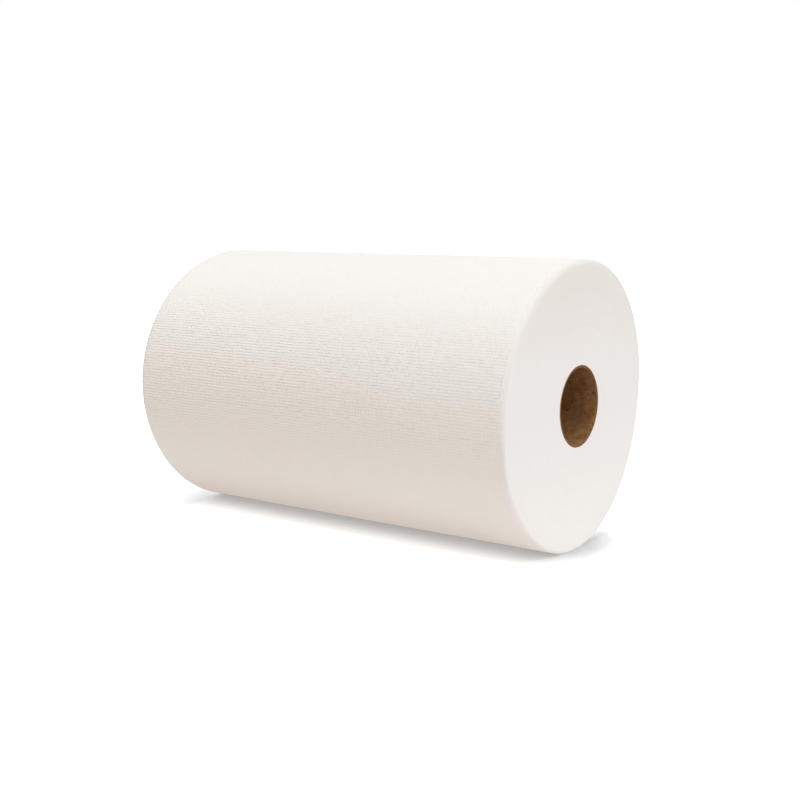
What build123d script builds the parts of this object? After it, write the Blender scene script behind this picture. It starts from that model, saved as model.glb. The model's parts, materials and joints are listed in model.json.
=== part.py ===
from build123d import *
from math import cos, radians, sin, sqrt
import os

# A paper towel roll, wound on its cardboard tube and lying on its side.
# The axis of the roll is the X axis, the origin is the middle of the tube's bore, and +Z is up.
# Angles round the roll are in degrees from +Y, the back, towards +Z, the top.
# Lengths are in millimetres.

# The wound paper
roll_width = 230.0
roll_radius = 72.0
sheet_thickness = 0.45
rim_radius = 3.0
tail_angle = 4.0

# How the soft turns lie out of round: a bulge above the tail, and a flat spot underneath
bulge = 2.2
bulge_angle = 48.0
flat_width = 24.0

# The turns' edges on each end, drawn as one shallow spiral line from the tube to the rim
line_turns = 5
line_width = 0.3
line_depth = 0.12
line_margin = 1.5

# The cardboard tube
tube_bore_radius = 19.0
tube_wall = 1.2
winding_clearance = 0.05

# The direction of the ground, and the equal turns of arc that the outline is made of
down = 270.0
section_arcs = 12

tube_radius = tube_bore_radius + tube_wall
paper_bore_radius = tube_radius + winding_clearance
arc_span = 360 / section_arcs
first_direction = bulge_angle - arc_span / 2


def at(angle, radius):
    """The point in the section, as Y and Z, at an angle and radius."""
    return (radius * cos(radians(angle)), radius * sin(radians(angle)))


def first_point():
    """Where the outline starts, half an arc before the bulge."""
    lean = radians(-arc_span / 2)
    reach = roll_radius + bulge * (cos(2 * lean) + cos(3 * lean)) / 2
    slide = -bulge * (2 * sin(2 * lean) + 3 * sin(3 * lean)) / 2
    outward = Vector(*at(first_direction, reach))
    along = Vector(*at(first_direction + 90, slide))
    return outward + along


def bend_radius(direction):
    """How round the outline is where it faces a direction. The bulge is tighter, and its sides are flatter."""
    lean = radians(direction - bulge_angle)
    return roll_radius - bulge * (3 * cos(2 * lean) + 8 * cos(3 * lean)) / 2


def outline_arcs():
    """The outline across the roll before its weight flattens it, as tangent arcs that close on themselves."""
    arcs = []
    start = first_point()
    tangent = at(first_direction + 90, 1)
    for i in range(section_arcs):
        arc = JernArc(start, tangent, bend_radius(first_direction + (i + 0.5) * arc_span), arc_span)
        arcs.append(arc)
        start = arc @ 1
        tangent = arc % 1
    return arcs


def bottom_arc():
    """The arc of the outline that faces the ground."""
    return outline_arcs()[int((down - first_direction) // arc_span)]


def soft_round():
    """The round outline drawn out to the roll's width, with its rims rounded over."""
    profile = make_face(outline_arcs())
    body = extrude(Plane.YZ.offset(-roll_width / 2) * profile, roll_width)
    ends = body.faces().sort_by(Axis.X)
    return fillet(ends[0].edges() + ends[-1].edges(), rim_radius)


def below_tail():
    """The sector from the ground up to the tail, where the roll is one sheet lower.

    Its lower edge is where the round, and the same round moved in by one sheet, cross each other.
    """
    reach = 2 * roll_radius
    seam = bottom_arc().arc_center.X - sheet_thickness / 2
    tail = at(tail_angle, reach)
    sector = make_face(Polyline((seam, 0), (seam, -reach), (tail[0], -reach), tail, close=True))
    return extrude(Plane.YZ.offset(-roll_width) * sector, 2 * roll_width)


def under_flat():
    """The block that the flat spot is pressed against."""
    arc = bottom_arc()
    flat_height = sqrt(arc.radius**2 - (flat_width / 2) ** 2) - arc.arc_center.Y
    depth = roll_radius
    block = Box(2 * roll_width, 2 * roll_radius, depth)
    return Pos(0, 0, -flat_height - depth / 2) * block


def spiral_side(offset):
    """One side of the spiral line: half circles, each half a pitch larger than the one before."""
    first = paper_bore_radius + line_margin + offset
    pitch = line_pitch()
    arcs = []
    for half_turn in range(2 * line_turns):
        radius = first + half_turn * pitch / 2
        lower = half_turn % 2
        arc = CenterArc((lower * pitch / 2, 0), radius, 180 * lower, 180)
        arcs.append(arc)
    return arcs


def line_pitch():
    """The step outwards from one turn of the line to the next, which brings it out to the soft rim."""
    least_radius = roll_radius - bulge - sheet_thickness - rim_radius
    return (least_radius - line_margin - paper_bore_radius - line_margin) / line_turns


def spiral_line():
    """The shallow spiral line on one end, as a face in the section."""
    inner = spiral_side(-line_width / 2)
    outer = spiral_side(line_width / 2)
    first_end = Line(inner[0] @ 0, outer[0] @ 0)
    last_end = Line(inner[-1] @ 1, outer[-1] @ 1)
    return make_face([*inner, *outer, first_end, last_end])


def make_paper_roll():
    """The wound paper as one solid, with the step of its free end down the back."""
    last_turn = soft_round()
    turn_below = Pos(0, -sheet_thickness, 0) * last_turn
    sector = below_tail()
    roll = last_turn - sector + (turn_below & sector)
    roll -= under_flat()
    line = spiral_line()
    for side in (-1, 1):
        end_plane = Plane.YZ.offset(side * (roll_width / 2 - line_depth))
        roll -= extrude(end_plane * line, side * 2 * line_depth)
    return roll - Plane.YZ * Cylinder(paper_bore_radius, 2 * roll_width)


def make_core_tube():
    """The cardboard tube, cut off flush with the paper."""
    wall = Cylinder(tube_radius, roll_width) - Cylinder(tube_bore_radius, roll_width)
    return Plane.YZ * wall


os.makedirs("parts", exist_ok=True)
export_step(make_paper_roll(), "parts/paper_roll.step")
export_step(make_core_tube(), "parts/core_tube.step")
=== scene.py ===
import bmesh
import bpy
import json
from functools import lru_cache
from math import atan2, cos, hypot, pi, radians, remainder, sin, sqrt, tau
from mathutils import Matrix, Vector, noise


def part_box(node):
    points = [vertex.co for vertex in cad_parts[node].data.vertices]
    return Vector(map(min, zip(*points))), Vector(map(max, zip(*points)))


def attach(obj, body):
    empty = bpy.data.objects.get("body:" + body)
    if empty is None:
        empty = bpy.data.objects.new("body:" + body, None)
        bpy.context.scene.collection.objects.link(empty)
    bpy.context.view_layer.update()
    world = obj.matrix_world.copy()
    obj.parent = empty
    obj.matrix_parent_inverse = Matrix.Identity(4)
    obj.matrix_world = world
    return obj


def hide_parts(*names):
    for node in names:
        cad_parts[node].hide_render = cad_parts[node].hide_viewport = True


# The look of a paper towel roll that lies on its side: its wound paper, cardboard tube and light.
# The axis of the roll is the X axis, and +Z is up.
# Angles round the roll go from +Y, the back, towards +Z, the top.
# Lengths are in metres and angles in radians.

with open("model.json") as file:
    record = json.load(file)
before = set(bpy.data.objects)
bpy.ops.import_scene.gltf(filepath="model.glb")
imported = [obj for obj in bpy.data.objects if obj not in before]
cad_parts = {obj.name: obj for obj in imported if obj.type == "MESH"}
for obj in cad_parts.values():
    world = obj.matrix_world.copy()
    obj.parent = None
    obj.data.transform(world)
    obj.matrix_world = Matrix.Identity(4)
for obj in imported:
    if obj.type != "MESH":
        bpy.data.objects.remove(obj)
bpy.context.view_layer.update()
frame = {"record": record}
paper_low, paper_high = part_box("paper_roll")
_, tube_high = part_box("core_tube")
core_bore = next(m for m in frame["record"]["mounts"] if m["name"] == "core_bore")

# The wound paper. Its ends and its flat spot are where the CAD solid has them.
# The near end's rim is crisper than the rest, round an angle low on its front.
near_end = paper_high.x
far_end = paper_low.x
ground = paper_low.z
roll_radius = 0.072
bulge = 0.0022
bulge_angle = radians(48)
sheet_thickness = 0.00045
rim_radius = 0.003
crisp_rim_radius = 0.0013
crisp_angle = radians(228)
crisp_spread = radians(62)
tube_radius = tube_high.z
winding_clearance = 0.00005
paper_bore_radius = tube_radius + winding_clearance

# The sheet's free end, which hangs down the back and stands off a little between its corners
tail_angle = radians(4)
tail_lift = 0.0018
tail_gap = radians(1.4)
tail_spread = radians(8)
tail_corner = 0.018
tail_wander = 0.4
tail_waves = (47, 19)
tail_wave_start = 0.6

# How evenly the soft turns lie
waviness = 0.00012
wave_length = 0.045

# The turns' edges on each end, as one faint spiral line with three vertices across it
line_turns = 5
line_points = 3
line_half_width = 0.0004
line_depth = 0.00003
line_margin = 0.0015
line_fade = radians(60)
least_radius = roll_radius - bulge - sheet_thickness - rim_radius
line_pitch = (least_radius - line_margin - paper_bore_radius - line_margin) / line_turns

# The paper's mesh, and the angle past which an edge of either piece looks sharp
columns = 360
column_step = tau / columns
outline_tries = 12
seam_column = round((tau - tail_angle) / column_step)
flank_stations = 64
rim_stations = 6
sharp_angle = radians(40)

# The cardboard tube, rolled from strips whose edge shows inside as a helical seam
tube_bore_radius = core_bore["dims"]["r_mm"] / 1000
tube_columns = 144
tube_stations = 150
seam_lead = 0.088
seam_start = radians(60)
seam_half_width = 0.0012
seam_depth = 0.0002
cut_roughness = 0.00006
cut_lumps = 9
cut_rounding = 0.0002

# Two kinds of values below. A noise has its scale, in lumps to the metre, and its detail.
# A soft step goes from one place or share to another, and so from one value to another.

# The embossing: raised rows, with shallower grooves across them, whose lines drift a little.
# The edges are where a row or a square reaches its full height, and the mean is its mean height.
emboss_length = 0.0016
emboss_height = 0.0015
emboss_rows = round(tau * roll_radius / emboss_height)
emboss_mean = 0.597
emboss_depth = 0.00015
emboss_drift = 0.0006
emboss_drift_noise = (110.0, 1.0)
cross_edge = 0.8
row_edge = 0.9

# How much of a row is left in a groove across it, from the far end to the near end,
# and how strong the embossing is, by chance and by the height above the axis
cross_along = (-0.06, 0.05, 0.4, 0.08)
emboss_uneven_noise = (620.0, 0.0)
emboss_uneven = (0.25, 0.75, 0.4, 1.55)
emboss_low = (-0.03, 0.0, 0.4, 1.0)
emboss_high = (0.025, 0.06, 1.0, 0.5)

# The finer relief of the paper: the turns on the ends and the fibres everywhere
ring_depth = 0.00006
ring_noise = (110.0, 2.0)
fibre_depth = 0.00003
fibre_noise = (1800.0, 3.0)

# How much of the grooves' colour, painted shade in the embossing, the flank has: on average, along
# the roll, and by the height
groove_share = 0.55
groove_painted_shade_along = (-0.07, 0.10, 0.9, 0.45)
groove_painted_shade_low = (-0.05, -0.02, 0.5, 1.0)
groove_painted_shade_high = (0.015, 0.055, 1.0, 0.6)

# Where the flank, the ends and the rims begin, by the distance from the nearer end
flank_begins = (0.0005, 0.003, 0.0, 1.0)
end_stops = (0.0, 0.0012, 1.0, 0.0)
rim_begins = (0.0, 0.0005, 0.0, 1.0)
rim_stops = (0.0009, 0.0036, 1.0, 0.0)

# Painted light and shade by the height: lighter low on the ends and the rims, darker high on them
end_painted_light = (-0.07, 0.01, 0.7, 0.0)
end_painted_shade = (0.01, 0.07, 0.0, 0.6)
rim_painted_light = (-0.04, -0.02, 0.9, 0.0)
rim_painted_shade = (-0.03, -0.005, 0.0, 0.75)

# The paper's colours and finish
paper_roughness = 0.95
paper_specular = 0.15
cloud_noise = (22.0, 2.0)
raised_share = 0.8
ring_share = 0.05
paper_colour_low = (0.893, 0.884, 0.878)
paper_colour_high = (0.924, 0.916, 0.912)
# The raised rows' colour, the flank's own tone, which is also painted light low on the ends and the
# rims
paper_raised_and_painted_light_colour = (0.975, 0.972, 0.957)
# Painted shade in the grooves and high on the ends, and also the darker tone of some turns on the
# ends
paper_painted_shade_and_turn_colour = (0.84, 0.80, 0.76)
# Painted shade high on the rims
rim_painted_shade_colour = (0.80, 0.79, 0.77)

# The cardboard's colours and finish: mottled, flecked, painted shade high in the bore, and darker
# at the cut ends
cardboard_roughness = 0.9
cardboard_specular = 0.2
cardboard_fibre_depth = 0.0001
cardboard_fibre_noise = (1500.0, 3.0)
mottle_noise = (260.0, 4.0)
mottled = (0.35, 0.65, 0.0, 1.0)
fleck_noise = (620.0, 0.0)
flecked = (0.68, 0.80, 0.0, 0.8)
# Painted shade high in the bore, in the flecks' colour
bore_top_painted_shade = (0.0, 0.017, 0.0, 0.35)
cut_begins = (near_end - 0.0004, near_end - 0.0001, 0.0, 0.7)
cardboard_colour_low = (0.28, 0.135, 0.052)
cardboard_colour_high = (0.39, 0.20, 0.087)
# The flecks' colour, which is also the painted shade high in the bore
cardboard_fleck_and_painted_shade_colour = (0.10, 0.045, 0.02)
cardboard_cut_colour = (0.19, 0.10, 0.05)

# The floor, a hair below the flat spot. The camera sees it with a colour and glow of its own.
# To all other light it is grey with a warm glow, which reaches the roll from below.
floor_reach = 8.0
floor_gap = 0.00005
floor_colour = (0.45, 0.45, 0.45)
floor_glow = 0.41
floor_glow_colour = (1.0, 0.88, 0.80)
floor_seen_colour = (0.87, 0.90, 0.93)
floor_seen_glow = 0.7

# The floor's shade close to the roll: in front of where the two touch, and past each end.
# Each end's shade has its side, the way that it looks for the roll, its reach and its soft step.
floor_shade_samples = 6
floor_under_reach = 0.0145
floor_under_open = 0.06
floor_under_power = 0.4
floor_end_shades = [
    (1, (-1, -0.3, 0.02), 0.024, (0.32, 1.0, 0.22, 1.0)),
    (-1, (1, 0.3, 0.05), 0.028, (0.4, 1.0, 0.5, 1.0)),
]
floor_end_fade = 0.02

# The light: a fill from all round, and the lamps.
# Each lamp has its name, azimuth, elevation, spread, strength and colour, with angles in degrees.
fill_strength = 0.35
fill_colour = (1, 1, 1)
lamps = [
    ("high lamp", 0, 84, 36, 1.15, (1, 1, 1)),
    ("side lamp", 90, 40, 40, 1.15, (1, 1, 1)),
    ("front lamp", 0, 30, 40, 0.38, (1.0, 0.83, 0.60)),
]

# The camera
camera_position = (0.386388, -0.532697, 0.095195)
camera_azimuth = radians(35.41)
camera_elevation = radians(8.845)
camera_lens = 55.305


def smooth(share):
    """Eases a share from 0 to 1, and holds it there."""
    share = max(0.0, min(1.0, share))
    return share * share * (3 - 2 * share)


# The wound paper's form

def support(direction):
    """The outline's point where it faces a direction, as Y and Z, and the direction as a vector."""
    lean = direction - bulge_angle
    reach = roll_radius + bulge * (cos(2 * lean) + cos(3 * lean)) / 2
    slide = -bulge * (2 * sin(2 * lean) + 3 * sin(3 * lean)) / 2
    outward = Vector((cos(direction), sin(direction)))
    along = Vector((-sin(direction), cos(direction)))
    return outward * reach + along * slide, outward


@lru_cache(maxsize=None)
def outline(angle):
    """The outline's point at an angle round the roll, and the direction that it faces there."""
    direction = angle
    for _ in range(outline_tries):
        point, outward = support(direction)
        direction += remainder(angle - atan2(point.y, point.x), tau)
    return point, outward


def from_corner(x):
    """0 at the two rims, rising to 1 between them."""
    return smooth((min(near_end - x, x - far_end) - rim_radius) / tail_corner)


def rim_at(side, angle):
    """How round a rim is at an angle. The near end's is crisper low on its front."""
    away = abs(remainder(angle - crisp_angle, tau)) / crisp_spread
    crisp = 1 - smooth(away) if side > 0 else 0.0
    return rim_radius + (crisp_rim_radius - rim_radius) * crisp


def sheet_drop(angle):
    """How much lower the roll is from the ground up to the tail, where it has one sheet less."""
    past_ground = angle > pi * 3 / 2
    return sheet_thickness * cos(angle) if past_ground else 0.0


def tail_stand_off(angle, x):
    """How far the last sheet stands off the turn below it, near its free end."""
    near_tail = max(0.0, 1 - (angle - tail_angle) / tail_spread) ** 2
    wave = sin(tail_waves[0] * x + tail_wave_start) * cos(tail_waves[1] * x)
    wander = 1 - tail_wander + tail_wander * wave
    return tail_lift * near_tail * wander * from_corner(x)


def paper_point(angle, x, offset, inward=0.0):
    """A point of the paper at an angle and a place along the roll, offset from its outline."""
    point, outward = outline(angle)
    wave = noise.noise(Vector((x, point.x, point.y)) / wave_length)
    offset += waviness * wave * from_corner(x) - inward
    point = point + outward * offset
    return Vector((x, point.x, max(point.y, ground)))


def line_radius(turn, angle):
    """The radius of one turn of the line, which is even over the top and grows by a pitch below."""
    start = paper_bore_radius + line_margin + turn * line_pitch
    if angle <= pi:
        return start
    centre = line_pitch / 2
    return centre * cos(angle) + sqrt((start + centre) ** 2 - (centre * sin(angle)) ** 2)


def line_sink(turn, angle):
    """How deep the line is there. It fades in at the tube and out at the rim."""
    turned = turn * tau + angle
    left = line_turns * tau - turned
    return line_depth * smooth(turned / line_fade) * smooth(left / line_fade)


def end_chain(bm, side, angle, offset, line_angles):
    """Vertices across one end from the bore to the rim, with those where it crosses the line."""
    end = near_end if side > 0 else far_end
    ray = Vector((0, cos(angle), sin(angle)))
    chain = [bm.verts.new(ray * paper_bore_radius + Vector((end, 0, 0)))]
    for turn, line_angle in line_angles:
        radius = line_radius(turn, line_angle)
        sink = side * line_sink(turn, line_angle)
        for across, depth in ((-line_half_width, 0.0), (0.0, sink), (line_half_width, 0.0)):
            chain.append(bm.verts.new(ray * (radius + across) + Vector((end - depth, 0, 0))))
    chain.append(bm.verts.new(paper_point(angle, end, offset, rim_at(side, angle))))
    return chain


def rim_chain(bm, side, angle, offset):
    """Vertices round one soft rim, from just past the end's flat part to just before the flank."""
    end = near_end if side > 0 else far_end
    radius = rim_at(side, angle)
    chain = []
    for i in range(1, rim_stations):
        turned = i / rim_stations * pi / 2
        x = end - side * radius * (1 - cos(turned))
        chain.append(bm.verts.new(paper_point(angle, x, offset, radius * (1 - sin(turned)))))
    return chain


def flank_places():
    """The places along the roll between its two rims."""
    start = far_end + rim_radius
    length = near_end - rim_radius - start
    return [start + length * i / (flank_stations - 1) for i in range(flank_stations)]


def ladder(bm, left, right, rungs=None):
    """Faces between two chains of vertices, one between each rung and the next."""
    rungs = rungs or [(i, i) for i in range(len(left))]
    for (a, b), (c, d) in zip(rungs, rungs[1:]):
        corners = list(dict.fromkeys(left[a:c + 1] + right[b:d + 1][::-1]))
        if len(corners) > 2:
            bm.faces.new(corners)


def end_rungs(left, right, shift):
    """The rungs between two end chains: bore to bore, rim to rim, and the line moved by shift."""
    line = [(i, i + shift) for i in range(1, line_points * line_turns + 1)]
    return [(0, 0), *line, (len(left) - 1, len(right) - 1)]


def over_chain(bm, angle, ends, offset):
    """Vertices over both rims and the flank, from the far end's chain to the near end's."""
    flank = [bm.verts.new(paper_point(angle, x, offset(x))) for x in flank_places()]
    far_rim = rim_chain(bm, -1, angle, offset(far_end))
    near_rim = rim_chain(bm, 1, angle, offset(near_end))
    return [ends[-1][-1], *far_rim, *flank, *near_rim[::-1], ends[1][-1]]


def gap_chain(bm, below, angle, offset):
    """Vertices in the gap under the free end. At the rims they are those of the chain below."""
    chain = list(below)
    for i, x in enumerate(flank_places()[1:-1], start=rim_stations + 1):
        chain[i] = bm.verts.new(paper_point(angle(x), x, offset(x)))
    return chain


def join_columns(bm, left, right, shift):
    """The faces between two columns, each of which has its two ends and what is over them."""
    (left_ends, left_over), (right_ends, right_over) = left, right
    for side in (-1, 1):
        rungs = end_rungs(left_ends[side], right_ends[side], shift)
        ladder(bm, left_ends[side], right_ends[side], rungs)
    ladder(bm, left_over, right_over)
    ladder(bm, [left_ends[1][0], left_ends[-1][0]], [right_ends[1][0], right_ends[-1][0]])


def both_ends(bm, angle, offset, line_angles):
    """The chains across the far end and the near end at one angle."""
    return {side: end_chain(bm, side, angle, offset, line_angles) for side in (-1, 1)}


def paper_columns(bm):
    """The columns from the free end, over the top and round, to the turn below the free end."""
    turns = range(line_turns)
    below = -sheet_drop(tail_angle + tau)
    below_ends = both_ends(bm, tail_angle, below, [(turn, tail_angle) for turn in turns])
    tail_ends = {}
    for side, chain in below_ends.items():
        end = near_end if side > 0 else far_end
        tip = paper_point(tail_angle, end, 0.0, rim_at(side, tail_angle))
        tail_ends[side] = [*chain, bm.verts.new(tip)]
    tail_over = over_chain(bm, tail_angle, tail_ends, lambda x: tail_stand_off(tail_angle, x))
    made = [(tail_ends, tail_over)]
    for i in range(1, columns):
        angle = tail_angle + i * column_step
        drop = sheet_drop(angle)
        line_angles = [(turn, angle % tau) for turn in turns]
        if i == seam_column:
            line_angles = [(0, 0.0)] + [(turn, tau) for turn in turns]
        ends = both_ends(bm, angle, -drop, line_angles)
        made.append((ends, over_chain(bm, angle, ends, lambda x: tail_stand_off(angle, x) - drop)))
    made.append((below_ends, over_chain(bm, tail_angle, below_ends, lambda x: below)))
    return made


def mark_turns(bm):
    """Marks each vertex with its place between the tube, at 0, and the outline, at 1."""
    turn = bm.verts.layers.float.new("turn")
    for v in bm.verts:
        column = round(atan2(v.co.z, v.co.y) / column_step)
        rim = outline(column * column_step)[0].length
        v[turn] = (hypot(v.co.y, v.co.z) - paper_bore_radius) / (rim - paper_bore_radius)


def make_paper():
    """The wound paper as one closed mesh: free end, soft rims, flat spot and spiral lines."""
    bm = bmesh.new()
    made = paper_columns(bm)
    for i, (left, right) in enumerate(zip(made, made[1:]), start=1):
        join_columns(bm, left, right, shift=line_points if i == seam_column else 0)
    tail_over = made[0][1]
    below_over = made[-1][1]
    inside = gap_chain(
        bm, below_over, lambda x: tail_angle + tail_gap * from_corner(x),
        lambda x: -sheet_thickness)
    edge = gap_chain(
        bm, below_over, lambda x: tail_angle,
        lambda x: tail_stand_off(tail_angle, x) - sheet_thickness)
    ladder(bm, below_over, inside)
    ladder(bm, inside, edge)
    ladder(bm, edge, tail_over)
    mark_turns(bm)
    return make_piece("towel_roll", bm, paper_material(), "paper_roll")


# The cardboard tube's form

def seam_sink(angle, x):
    """How deep the inner wall is at its helical seam, where two edges of its strip meet."""
    away = remainder(angle - seam_start - tau * (x - far_end) / seam_lead, tau) / tau * seam_lead
    return seam_depth * (1 - smooth(abs(away) / seam_half_width))


def tube_section(angle):
    """The tube's wall in section at an angle, as points' places along the roll and radii."""
    rough = cut_roughness * noise.noise(Vector((cos(angle), sin(angle), 0)) * cut_lumps)
    near, far = near_end - abs(rough), far_end + abs(rough)
    outer, inner = tube_radius, tube_bore_radius
    section = [(far + cut_rounding, outer), (near - cut_rounding, outer)]
    section += [(near, outer - cut_rounding), (near, inner + cut_rounding)]
    length = near - far - 2 * cut_rounding
    for i in range(tube_stations + 1):
        x = near - cut_rounding - length * i / tube_stations
        section.append((x, inner + seam_sink(angle, x)))
    return section + [(far, inner + cut_rounding), (far, outer - cut_rounding)]


def make_tube():
    """The cardboard tube as one closed mesh, with its seam and its cut ends."""
    bm = bmesh.new()
    chains = []
    for i in range(tube_columns):
        angle = tau * i / tube_columns
        ray = Vector((0, cos(angle), sin(angle)))
        section = tube_section(angle)
        chain = [bm.verts.new(ray * radius + Vector((x, 0, 0))) for x, radius in section]
        chains.append([*chain, chain[0]])
    for left, right in zip(chains, chains[1:] + chains[:1]):
        ladder(bm, left, right)
    return make_piece("cardboard_core", bm, cardboard_material(), "core_tube")


def make_piece(name, bm, material, node):
    """An object from a mesh, which stands for a CAD node."""
    bmesh.ops.recalc_face_normals(bm, faces=bm.faces)
    mesh = bpy.data.meshes.new(name)
    bm.to_mesh(mesh)
    bm.free()
    mesh.shade_smooth()
    mesh.set_sharp_from_angle(angle=sharp_angle)
    mesh.materials.append(material)
    piece = bpy.data.objects.new(name, mesh)
    bpy.context.scene.collection.objects.link(piece)
    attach(piece, "root")
    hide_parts(node)
    return piece


# Materials

def add(tree, kind, inputs=None, **settings):
    """A node with its settings, whose named inputs are linked to a socket or given a value."""
    made = tree.nodes.new(kind)
    for name, value in settings.items():
        setattr(made, name, value)
    for name, value in (inputs or {}).items():
        if isinstance(value, bpy.types.NodeSocket):
            tree.links.new(value, made.inputs[name])
        else:
            made.inputs[name].default_value = value
    return made


def math(tree, operation, *values):
    """The result of a Math node."""
    return add(tree, "ShaderNodeMath", dict(enumerate(values)), operation=operation).outputs[0]


def product(tree, first, *others):
    """The values multiplied by each other."""
    for value in others:
        first = math(tree, "MULTIPLY", first, value)
    return first


def separate(tree, vector):
    """A vector's X, Y and Z."""
    return add(tree, "ShaderNodeSeparateXYZ", {"Vector": vector}).outputs


def remap(tree, value, low, high, to_low, to_high):
    """A value's smooth step from one range to another."""
    names = ("Value", "From Min", "From Max", "To Min", "To Max")
    inputs = dict(zip(names, (value, low, high, to_low, to_high)))
    made = add(tree, "ShaderNodeMapRange", inputs, interpolation_type="SMOOTHSTEP")
    return made.outputs["Result"]


def mix(tree, share, first, second):
    """A mix of two colours."""
    made = add(tree, "ShaderNodeMix", {"Factor": share}, data_type="RGBA")
    for name, value in (("A", first), ("B", second)):
        socket = next(s for s in made.inputs if s.name == name and s.type == "RGBA")
        if isinstance(value, bpy.types.NodeSocket):
            tree.links.new(value, socket)
        else:
            socket.default_value = (*value, 1)
    return next(s for s in made.outputs if s.type == "RGBA")


def noise_texture(tree, vector, scale, detail, output="Fac"):
    """Soft noise with lumps of about one over its scale."""
    inputs = {"Vector": vector, "Scale": scale, "Detail": detail}
    return add(tree, "ShaderNodeTexNoise", inputs).outputs[output]


def new_material(name, roughness, specular):
    """A matt material, its node tree and shader, and the place on the roll."""
    material = bpy.data.materials.new(name)
    material.use_nodes = True
    tree = material.node_tree
    shader = tree.nodes["Principled BSDF"]
    shader.inputs["Roughness"].default_value = roughness
    shader.inputs["Specular IOR Level"].default_value = specular
    place = add(tree, "ShaderNodeTexCoord").outputs["Object"]
    return material, tree, shader, place


def set_surface(tree, shader, colour, height, depth):
    """Gives the shader its colour, and its relief, which is a height times a depth."""
    bump = add(tree, "ShaderNodeBump", {"Height": height, "Distance": depth, "Strength": 1.0})
    tree.links.new(bump.outputs["Normal"], shader.inputs["Normal"])
    tree.links.new(colour, shader.inputs["Base Color"])


def rounds(tree, place, rate):
    """Half waves side by side along a place, from 0 between them to 1 at their tops."""
    return math(tree, "ABSOLUTE", math(tree, "SINE", math(tree, "MULTIPLY", place, rate)))


def embossing(tree, place):
    """How high the embossing is above its mean, at its own strength in each place."""
    x, y, z = separate(tree, place)
    drift = noise_texture(tree, place, *emboss_drift_noise, output="Color")
    drift_x, drift_y, _ = separate(tree, drift)
    across = math(tree, "MULTIPLY_ADD", drift_x, emboss_drift, x)
    around = math(tree, "ARCTAN2", z, y)
    around = math(tree, "MULTIPLY_ADD", drift_y, emboss_drift / roll_radius, around)
    in_groove = remap(tree, x, *cross_along)
    squares = remap(tree, rounds(tree, across, pi / emboss_length), 0.0, cross_edge, in_groove, 1.0)
    rows = remap(tree, rounds(tree, around, emboss_rows / 2), 0.0, row_edge, 0.0, 1.0)
    height = math(tree, "SUBTRACT", math(tree, "MINIMUM", squares, rows), emboss_mean)
    strength = remap(tree, noise_texture(tree, place, *emboss_uneven_noise), *emboss_uneven)
    strength = product(tree, strength, remap(tree, z, *emboss_low), remap(tree, z, *emboss_high))
    return math(tree, "MULTIPLY", height, strength)


def turn_noise(tree):
    """Noise that changes from turn to turn, as the edges of the turns on the ends do."""
    turn = add(tree, "ShaderNodeAttribute", attribute_name="turn").outputs["Fac"]
    scale, detail = ring_noise
    inputs = {"W": turn, "Scale": scale, "Detail": detail}
    return add(tree, "ShaderNodeTexNoise", inputs, noise_dimensions="1D").outputs["Fac"]


def paper_material():
    """Warm white paper: embossed rows on the flank with painted shade in their grooves, fine turns
    on the ends, and painted light low and painted shade high on the ends and the rims.
    """
    material, tree, shader, place = new_material("embossed paper", paper_roughness, paper_specular)
    x, _, z = separate(tree, place)
    inside = math(tree, "SUBTRACT", near_end, math(tree, "ABSOLUTE", x))
    on_flank = remap(tree, inside, *flank_begins)
    on_end = remap(tree, inside, *end_stops)
    on_rim = product(tree, remap(tree, inside, *rim_begins), remap(tree, inside, *rim_stops))
    relief = embossing(tree, place)
    rings = product(tree, turn_noise(tree), on_end)
    fibres = noise_texture(tree, place, *fibre_noise)

    height = product(tree, relief, on_flank, emboss_depth)
    height = math(tree, "MULTIPLY_ADD", rings, ring_depth, height)
    height = math(tree, "MULTIPLY_ADD", fibres, fibre_depth, height)

    clouds = noise_texture(tree, place, *cloud_noise)
    colour = mix(tree, clouds, paper_colour_low, paper_colour_high)
    # Painted shade in the embossed grooves, weaker towards the near end and at the top and bottom
    # of the roll
    groove = product(tree, math(tree, "SUBTRACT", groove_share, relief), on_flank)
    groove_shade = product(
        tree, remap(tree, x, *groove_painted_shade_along),
        remap(tree, z, *groove_painted_shade_high), remap(tree, z, *groove_painted_shade_low))
    for share, tone in (
        (product(tree, on_flank, raised_share), paper_raised_and_painted_light_colour),
        (product(tree, groove, groove_shade), paper_painted_shade_and_turn_colour),
        (product(tree, rings, ring_share), paper_painted_shade_and_turn_colour),
        # Painted light low on the ends, and painted shade high on them
        (product(tree, on_end, remap(tree, z, *end_painted_light)), paper_raised_and_painted_light_colour),
        (product(tree, on_end, remap(tree, z, *end_painted_shade)), paper_painted_shade_and_turn_colour),
        # Painted light low on the rims, and painted shade high on them
        (product(tree, on_rim, remap(tree, z, *rim_painted_light)), paper_raised_and_painted_light_colour),
        (product(tree, on_rim, remap(tree, z, *rim_painted_shade)), rim_painted_shade_colour),
    ):
        colour = mix(tree, share, colour, tone)
    set_surface(tree, shader, colour, height, 1.0)
    return material


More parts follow.
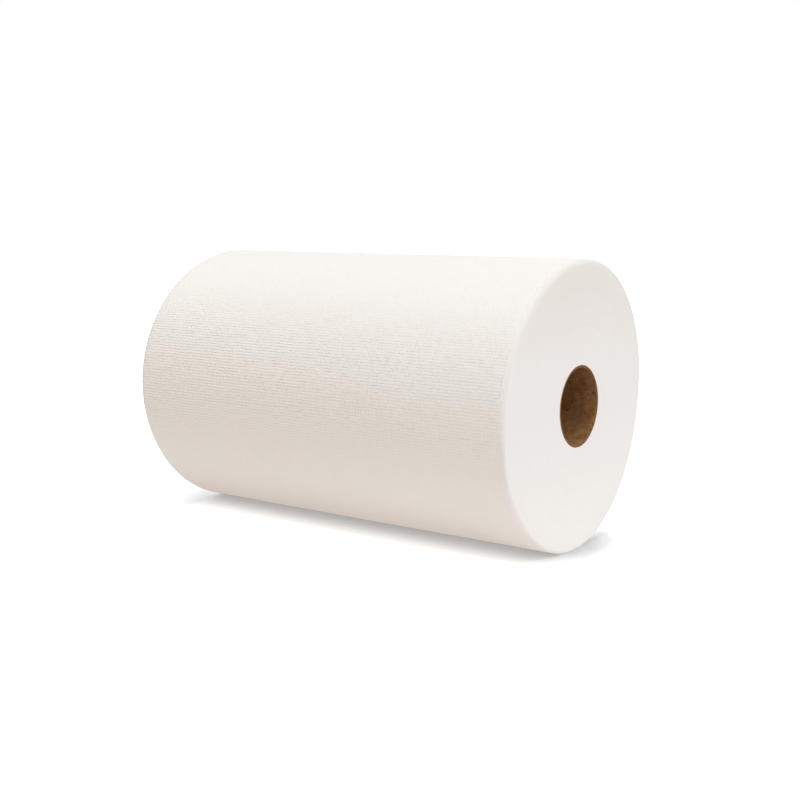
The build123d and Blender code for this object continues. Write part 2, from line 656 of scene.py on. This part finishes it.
def cardboard_material():
    """Unbleached cardboard: mottled brown with darker flecks, painted shade high in the bore, and
    darker where it is cut.
    """
    material, tree, shader, place = new_material(
        "brown cardboard", cardboard_roughness, cardboard_specular)
    x, _, z = separate(tree, place)
    mottling = remap(tree, noise_texture(tree, place, *mottle_noise), *mottled)
    colour = mix(tree, mottling, cardboard_colour_low, cardboard_colour_high)
    for share, tone in (
        (remap(tree, noise_texture(tree, place, *fleck_noise), *flecked), cardboard_fleck_and_painted_shade_colour),
        # Painted shade high in the bore
        (remap(tree, z, *bore_top_painted_shade), cardboard_fleck_and_painted_shade_colour),
        (remap(tree, math(tree, "ABSOLUTE", x), *cut_begins), cardboard_cut_colour),
    ):
        colour = mix(tree, share, colour, tone)
    fibres = noise_texture(tree, place, *cardboard_fibre_noise)
    set_surface(tree, shader, colour, fibres, cardboard_fibre_depth)
    return material


# The studio

def open_share(tree, inputs):
    """How open the floor is within a reach, from 0 right under the roll to 1."""
    made = add(tree, "ShaderNodeAmbientOcclusion", inputs, samples=floor_shade_samples)
    return made.outputs["AO"]


def shade_under(tree):
    """How light the floor is in front of where the roll touches it."""
    clear = open_share(tree, {"Distance": floor_under_reach})
    return math(tree, "POWER", math(tree, "MAXIMUM", clear, floor_under_open), floor_under_power)


def shade_past_end(tree, x, side, direction, reach, step):
    """How light the floor is past the end of the roll on one side."""
    outwards = math(tree, "MULTIPLY", x, side)
    past_end = remap(tree, outwards, near_end - floor_end_fade, near_end, 0.0, 1.0)
    direction = dict(zip("XYZ", Vector(direction).normalized()))
    direction = add(tree, "ShaderNodeCombineXYZ", direction)
    clear = open_share(tree, {"Distance": reach, "Normal": direction.outputs["Vector"]})
    lost = math(tree, "SUBTRACT", 1.0, remap(tree, clear, *step))
    return math(tree, "SUBTRACT", 1.0, math(tree, "MULTIPLY", past_end, lost))


def floor_material():
    """White where no shadow falls on it, and clear from below."""
    material = bpy.data.materials.new("floor")
    material.use_nodes = True
    tree = material.node_tree
    tree.nodes.clear()
    path = add(tree, "ShaderNodeLightPath").outputs["Is Camera Ray"]
    unseen = math(tree, "SUBTRACT", 1.0, path)
    behind = add(tree, "ShaderNodeNewGeometry").outputs["Backfacing"]
    x, _, _ = separate(tree, add(tree, "ShaderNodeTexCoord").outputs["Object"])
    shade = shade_under(tree)
    for end_shade in floor_end_shades:
        shade = math(tree, "MINIMUM", shade, shade_past_end(tree, x, *end_shade))
    shaded = {0: floor_seen_colour, "Scale": shade}
    shaded = add(tree, "ShaderNodeVectorMath", shaded, operation="SCALE").outputs["Vector"]
    seen_matt = add(tree, "ShaderNodeBsdfDiffuse", {"Color": shaded})
    seen_glow = add(tree, "ShaderNodeEmission", {"Strength": product(tree, shade, floor_seen_glow)})
    seen = add(tree, "ShaderNodeAddShader", {0: seen_matt.outputs[0], 1: seen_glow.outputs[0]})
    real = add(tree, "ShaderNodeBsdfDiffuse", {"Color": (*floor_colour, 1)})
    glow = {"Color": (*floor_glow_colour, 1), "Strength": product(tree, unseen, floor_glow)}
    glow = add(tree, "ShaderNodeEmission", glow)
    matt = {"Fac": path, 1: real.outputs[0], 2: seen.outputs[0]}
    matt = add(tree, "ShaderNodeMixShader", matt)
    above = add(tree, "ShaderNodeAddShader", {0: matt.outputs[0], 1: glow.outputs[0]})
    below = add(tree, "ShaderNodeBsdfTransparent")
    both = {"Fac": behind, 1: above.outputs[0], 2: below.outputs[0]}
    both = add(tree, "ShaderNodeMixShader", both)
    add(tree, "ShaderNodeOutputMaterial", {"Surface": both.outputs[0]})
    return material


def make_floor():
    """The pale floor that the roll lies on."""
    bm = bmesh.new()
    height = ground - floor_gap
    corners = [(-1, -1), (1, -1), (1, 1), (-1, 1)]
    bm.faces.new([bm.verts.new((floor_reach * x, floor_reach * y, height)) for x, y in corners])
    mesh = bpy.data.meshes.new("floor")
    bm.to_mesh(mesh)
    bm.free()
    mesh.materials.append(floor_material())
    floor = bpy.data.objects.new("floor", mesh)
    bpy.context.scene.collection.objects.link(floor)


def make_world():
    """Soft light from all round, behind a background that is plain white."""
    world = bpy.data.worlds.new("studio")
    bpy.context.scene.world = world
    world.use_nodes = True
    tree = world.node_tree
    tree.nodes.clear()
    path = add(tree, "ShaderNodeLightPath")
    seen = math(tree, "MAXIMUM", path.outputs["Is Camera Ray"], path.outputs["Is Glossy Ray"])
    seen = math(tree, "MAXIMUM", seen, path.outputs["Is Transmission Ray"])
    fill = {"Color": (*fill_colour, 1), "Strength": fill_strength}
    fill = add(tree, "ShaderNodeBackground", fill)
    white = add(tree, "ShaderNodeBackground", {"Color": (1, 1, 1, 1), "Strength": 1.0})
    both = add(tree, "ShaderNodeMixShader", {"Fac": seen, 1: fill.outputs[0], 2: white.outputs[0]})
    add(tree, "ShaderNodeOutputWorld", {"Surface": both.outputs[0]})


def make_lamp(name, azimuth, elevation, spread, strength, colour):
    """A broad, distant lamp. Azimuth 0 is in front, towards -Y, and 90 is towards +X."""
    data = bpy.data.lights.new(name, "SUN")
    data.angle = radians(spread)
    data.energy = strength
    data.color = colour
    lamp = bpy.data.objects.new(name, data)
    bpy.context.scene.collection.objects.link(lamp)
    lamp.rotation_euler = (pi / 2 - radians(elevation), 0, radians(azimuth))


def make_camera():
    """The camera, where the photo was taken from."""
    data = bpy.data.cameras.new("camera")
    data.lens = camera_lens
    camera = bpy.data.objects.new("camera", data)
    bpy.context.scene.collection.objects.link(camera)
    camera.location = camera_position
    camera.rotation_euler = (pi / 2 - camera_elevation, 0, camera_azimuth)
    bpy.context.scene.camera = camera


bpy.context.scene.view_settings.view_transform = "Standard"
make_camera()
make_paper()
make_tube()
make_floor()
make_world()
for lamp in lamps:
    make_lamp(*lamp)
